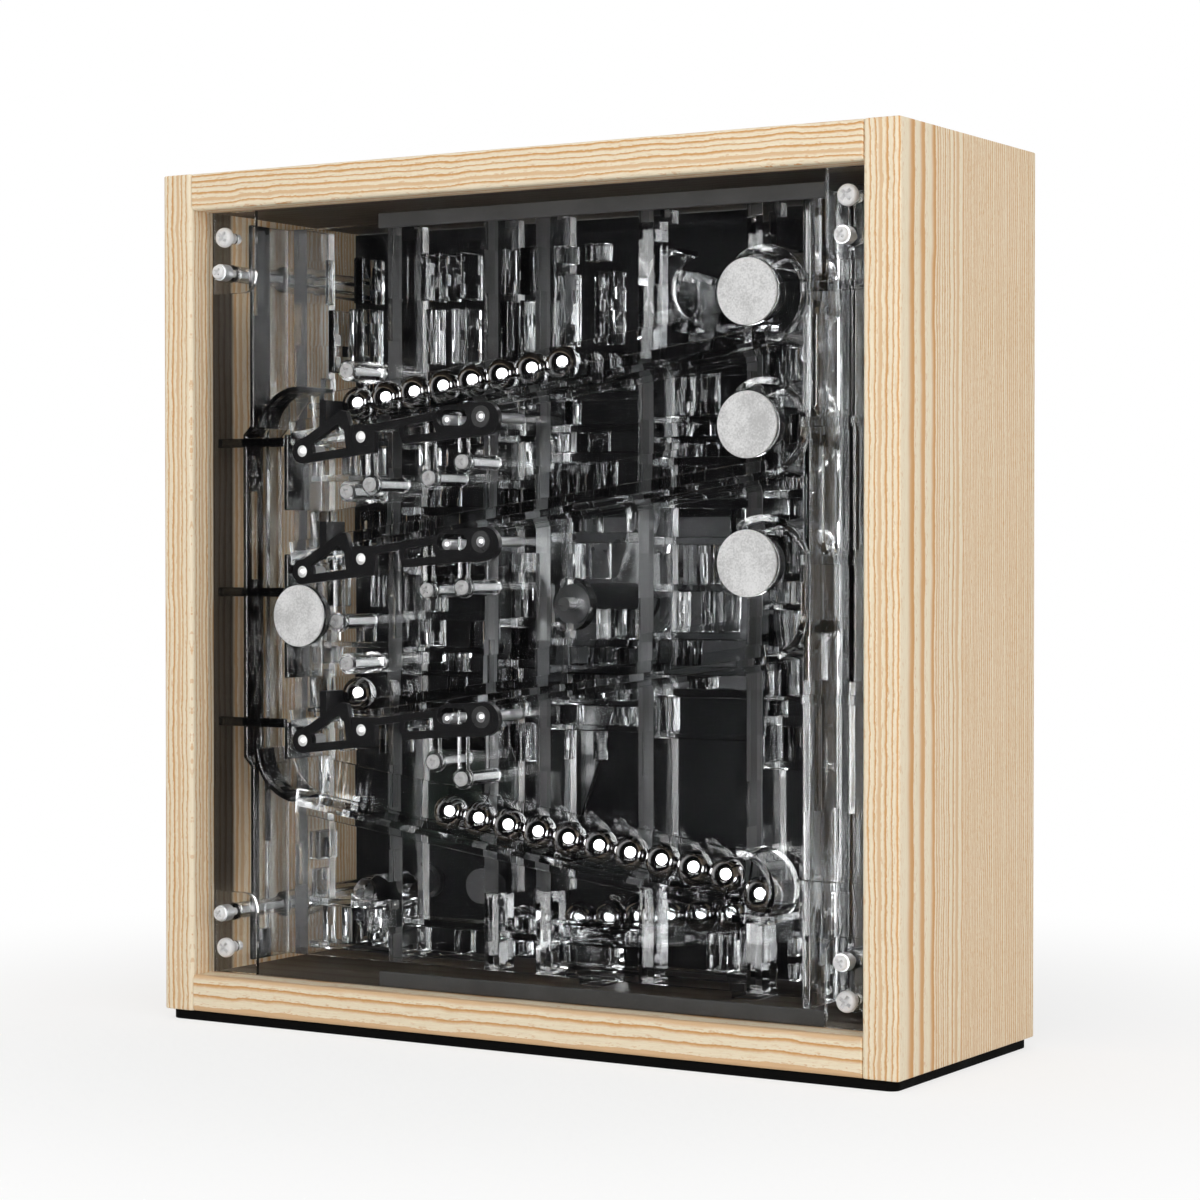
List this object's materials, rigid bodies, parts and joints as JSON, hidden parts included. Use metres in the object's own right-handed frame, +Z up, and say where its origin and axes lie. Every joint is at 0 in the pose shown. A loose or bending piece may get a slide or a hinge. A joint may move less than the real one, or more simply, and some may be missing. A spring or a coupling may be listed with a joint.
{
  "type": "rolling ball clock",
  "caption": "Wooden case clock with a clear front, in which steel balls on three sloping clear rails with dark tipping rockers show the time and a turning arm lifts them again.",
  "frame": {"origin": "Middle of the case's footprint, in the plane on which the rubber pad lies.", "axes": "X to the right as seen from the front, Y from the front panel to the back panel, Z up."},
  "size_m": [0.25, 0.0896, 0.2585],
  "materials": {
    "pine": "satin",
    "dark_sheet": "matte",
    "pad_rubber": "matte",
    "clear_acrylic": "polished",
    "grey_plastic": "matte",
    "bright_steel": "polished",
    "ball_chrome": "mirror",
    "white_card": "matte",
    "rocker_black": "matte",
    "black_nylon": "matte",
    "dark_metal": "brushed",
    "board_green": "gloss",
    "black_plastic": "satin"
  },
  "bodies": {
    "clock": {"side_board_left": "pine", "side_board_right": "pine", "top_board": "pine", "bottom_board": "pine", "back_panel": "dark_sheet", "base_pad": "pad_rubber", "front_panel": "clear_acrylic", "corner_brackets": "clear_acrylic", "cross_strips": "grey_plastic", "corner_screws": "bright_steel", "standoff_screws": "bright_steel", "screw_collars": "bright_steel", "standoffs": "clear_acrylic", "disc_studs": "clear_acrylic", "white_discs": "white_card", "main_frame": "clear_acrylic", "rear_posts": "clear_acrylic", "back_screws": "bright_steel", "minute_rail": "clear_acrylic", "tens_rail": "clear_acrylic", "hour_rail": "clear_acrylic", "rail_sleeves": "clear_acrylic", "rail_screws": "bright_steel", "return_channel": "clear_acrylic", "channel_straps": "clear_acrylic", "feed_column": "clear_acrylic", "column_straps": "clear_acrylic", "reservoir_rail": "clear_acrylic", "return_rail": "clear_acrylic", "pickup_fins": "clear_acrylic", "feed_chute": "clear_acrylic", "pivot_pins": "bright_steel", "stop_pins": "bright_steel", "lift_axle": "bright_steel", "motor_plate": "dark_metal", "motor_spacers": "dark_metal", "motor": "dark_metal", "circuit_board": "board_green", "board_spacers": "dark_metal", "power_socket": "black_plastic", "button_housing": "black_plastic"},
    "minute_rocker": {"minute_rocker": "rocker_black", "minute_bush": "bright_steel", "minute_weights": "bright_steel"},
    "tens_rocker": {"tens_rocker": "rocker_black", "tens_bush": "bright_steel", "tens_weights": "bright_steel"},
    "hour_rocker": {"hour_rocker": "rocker_black", "hour_bush": "bright_steel", "hour_weights": "bright_steel"},
    "lift": {"lift_arm": "clear_acrylic", "lift_hub": "dark_metal", "lift_gear": "black_nylon"},
    "pinion": {"motor_pinion": "black_nylon"},
    "minute_balls": {"minute_balls": "ball_chrome"},
    "hour_ball": {"hour_ball": "ball_chrome"},
    "reservoir_balls": {"reservoir_balls": "ball_chrome"},
    "waiting_ball": {"waiting_ball": "ball_chrome"},
    "return_balls": {"return_balls": "ball_chrome"},
    "set_button": {"set_button": "black_plastic"}
  },
  "joints": [
    {"name": "minute_rocker_pivot", "type": "hinge", "parent": "clock", "child": "minute_rocker", "pos_m": [-0.0159, -0.03185, 0.1829], "axis": [0, -1, 0], "range_deg": [0, 7], "stiffness_Nm_per_rad": 0.01, "springref_deg": -14.32},
    {"name": "tens_rocker_pivot", "type": "hinge", "parent": "clock", "child": "tens_rocker", "pos_m": [-0.0159, -0.03185, 0.1464], "axis": [0, -1, 0], "range_deg": [0, 7], "stiffness_Nm_per_rad": 0.01, "springref_deg": -14.32},
    {"name": "hour_rocker_pivot", "type": "hinge", "parent": "clock", "child": "hour_rocker", "pos_m": [-0.0159, -0.03185, 0.0952], "axis": [0, -1, 0], "range_deg": [0, 7], "stiffness_Nm_per_rad": 0.01, "springref_deg": -14.32},
    {"name": "lift_turn", "type": "hinge", "parent": "clock", "child": "lift", "pos_m": [0, 0.01525, 0.128], "axis": [0, 1, 0], "continuous": true},
    {"name": "pinion_turn", "type": "hinge", "parent": "clock", "child": "pinion", "pos_m": [0.024, 0.02925, 0.128], "axis": [0, 1, 0], "continuous": true},
    {"name": "minute_roll", "type": "slide", "parent": "clock", "child": "minute_balls", "axis": [0.9907, 0, 0.1357], "range_m": [0, 0.045]},
    {"name": "hour_roll", "type": "slide", "parent": "clock", "child": "hour_ball", "axis": [0.9907, 0, 0.1357], "range_m": [0, 0.11]},
    {"name": "reservoir_roll", "type": "slide", "parent": "clock", "child": "reservoir_balls", "axis": [-0.9898, 0, 0.1426], "range_m": [0, 0.035]},
    {"name": "waiting_roll", "type": "slide", "parent": "clock", "child": "waiting_ball", "axis": [0, 1, 0], "range_m": [0, 0.018]},
    {"name": "return_roll", "type": "slide", "parent": "clock", "child": "return_balls", "axis": [0.9956, 0, 0.0941], "range_m": [0, 0.012]},
    {"name": "button_press", "type": "slide", "parent": "clock", "child": "set_button", "axis": [0, -1, 0], "range_m": [0, 0.0015], "stiffness_N_per_m": 400, "springref_m": -0.001}
  ],
  "couplings": [
    {"joint": "pinion_turn", "follows": "lift_turn", "ratio": -4}
  ]
}
